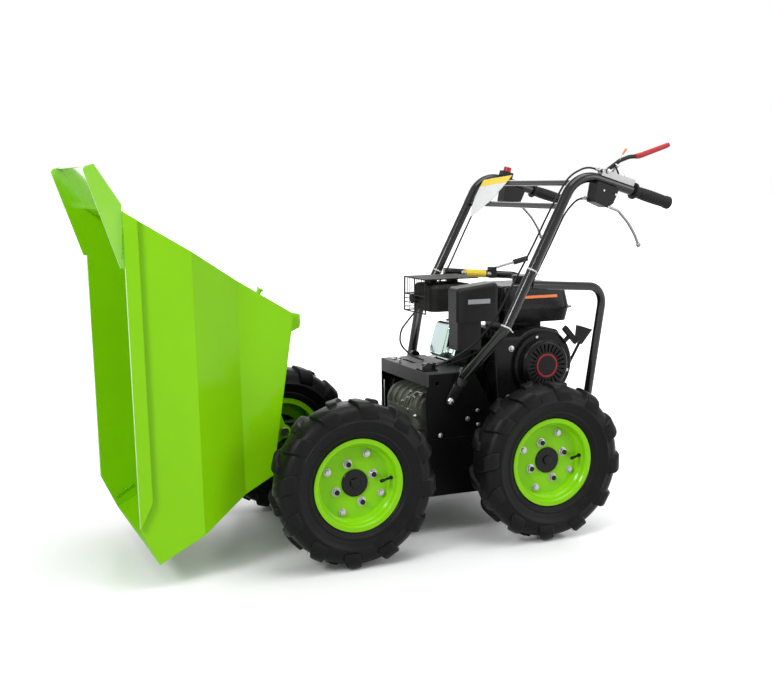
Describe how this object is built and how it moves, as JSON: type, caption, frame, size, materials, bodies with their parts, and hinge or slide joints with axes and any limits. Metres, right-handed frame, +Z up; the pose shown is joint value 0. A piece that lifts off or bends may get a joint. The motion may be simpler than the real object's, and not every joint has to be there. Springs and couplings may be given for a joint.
{
  "type": "walk-behind wheeled mini dumper with tipping skip",
  "caption": "Walk-behind mini dumper: lugged wheels on a petrol-engined chassis with a handlebar, and a folded-sheet skip that tips forward on a front hinge.",
  "frame": {"origin": "on the ground, under the middle of the machine's length and width at rest, with the skip tipped forward", "axes": "+X forwards, from the handlebar towards the skip; +Y to the operator's left; +Z up"},
  "size_m": [1.502, 0.674, 0.9988],
  "materials": {
    "black_steel": "satin",
    "cable_sheath": "satin",
    "cast_alloy": "rough cast",
    "chrome": "polished",
    "engine_alloy": "satin",
    "engine_black": "satin",
    "green_paint": "gloss",
    "grip_rubber": "matt",
    "red_plastic": "satin",
    "tyre_rubber": "matt",
    "zinc": "zinc plated"
  },
  "bodies": {
    "chassis": {"air_cleaner": "engine_black", "belt_guard": "black_steel", "brake_lever_left": "zinc", "brake_lever_right": "zinc", "cable_brake": "cable_sheath", "cable_catch": "cable_sheath", "cable_drive": "cable_sheath", "carburettor": "engine_black", "control_box_left": "engine_black", "control_box_right": "engine_black", "drive_case": "black_steel", "engine_block": "engine_alloy", "engine_deck": "black_steel", "fan_housing": "engine_black", "front_frame": "black_steel", "fuel_tank": "engine_black", "gear_lever": "engine_black", "gearbox": "cast_alloy", "gearbox_housing": "black_steel", "grip_left": "grip_rubber", "grip_right": "grip_rubber", "guard_hoop_left": "black_steel", "guard_hoop_right": "black_steel", "hand_lever": "zinc", "handle_crossbars": "black_steel", "handle_tube_left": "black_steel", "handle_tube_right": "black_steel", "hinge_pin": "zinc", "housing_side_left": "black_steel", "housing_side_right": "black_steel", "lever_bracket": "zinc", "muffler": "black_steel", "muffler_guard": "black_steel", "rear_lever": "engine_black", "recoil_cover": "engine_black", "rocker_cover": "chrome", "starter_grip": "grip_rubber", "stop_button": "red_plastic", "tank_cap": "engine_black", "tip_catch": "zinc"},
    "skip": {"skip_hinge_ears": "green_paint", "skip_hood": "green_paint", "skip_rest_feet": "green_paint", "skip_sides": "green_paint", "skip_striker": "green_paint", "skip_trough": "green_paint"},
    "wheel_front_left": {"hub_front_left": "black_steel", "rim_front_left": "green_paint", "tyre_front_left": "tyre_rubber"},
    "wheel_front_right": {"hub_front_right": "black_steel", "rim_front_right": "green_paint", "tyre_front_right": "tyre_rubber"},
    "wheel_rear_left": {"hub_rear_left": "black_steel", "rim_rear_left": "green_paint", "tyre_rear_left": "tyre_rubber"},
    "wheel_rear_right": {"hub_rear_right": "black_steel", "rim_rear_right": "green_paint", "tyre_rear_right": "tyre_rubber"}
  },
  "joints": [
    {"name": "skip_tip", "type": "hinge", "parent": "chassis", "child": "skip", "pos_m": [0.28581, 0, 0.30955], "axis": [0, 1, 0], "range_deg": [-81, 0]},
    {"name": "wheel_front_left_spin", "type": "hinge", "parent": "chassis", "child": "wheel_front_left", "pos_m": [0.16131, 0.283, 0.20255], "axis": [0, 1, 0], "continuous": true},
    {"name": "wheel_front_right_spin", "type": "hinge", "parent": "chassis", "child": "wheel_front_right", "pos_m": [0.16131, -0.283, 0.20255], "axis": [0, 1, 0], "continuous": true},
    {"name": "wheel_rear_left_spin", "type": "hinge", "parent": "chassis", "child": "wheel_rear_left", "pos_m": [-0.36369, 0.283, 0.20255], "axis": [0, 1, 0], "continuous": true},
    {"name": "wheel_rear_right_spin", "type": "hinge", "parent": "chassis", "child": "wheel_rear_right", "pos_m": [-0.36369, -0.283, 0.20255], "axis": [0, 1, 0], "continuous": true}
  ]
}
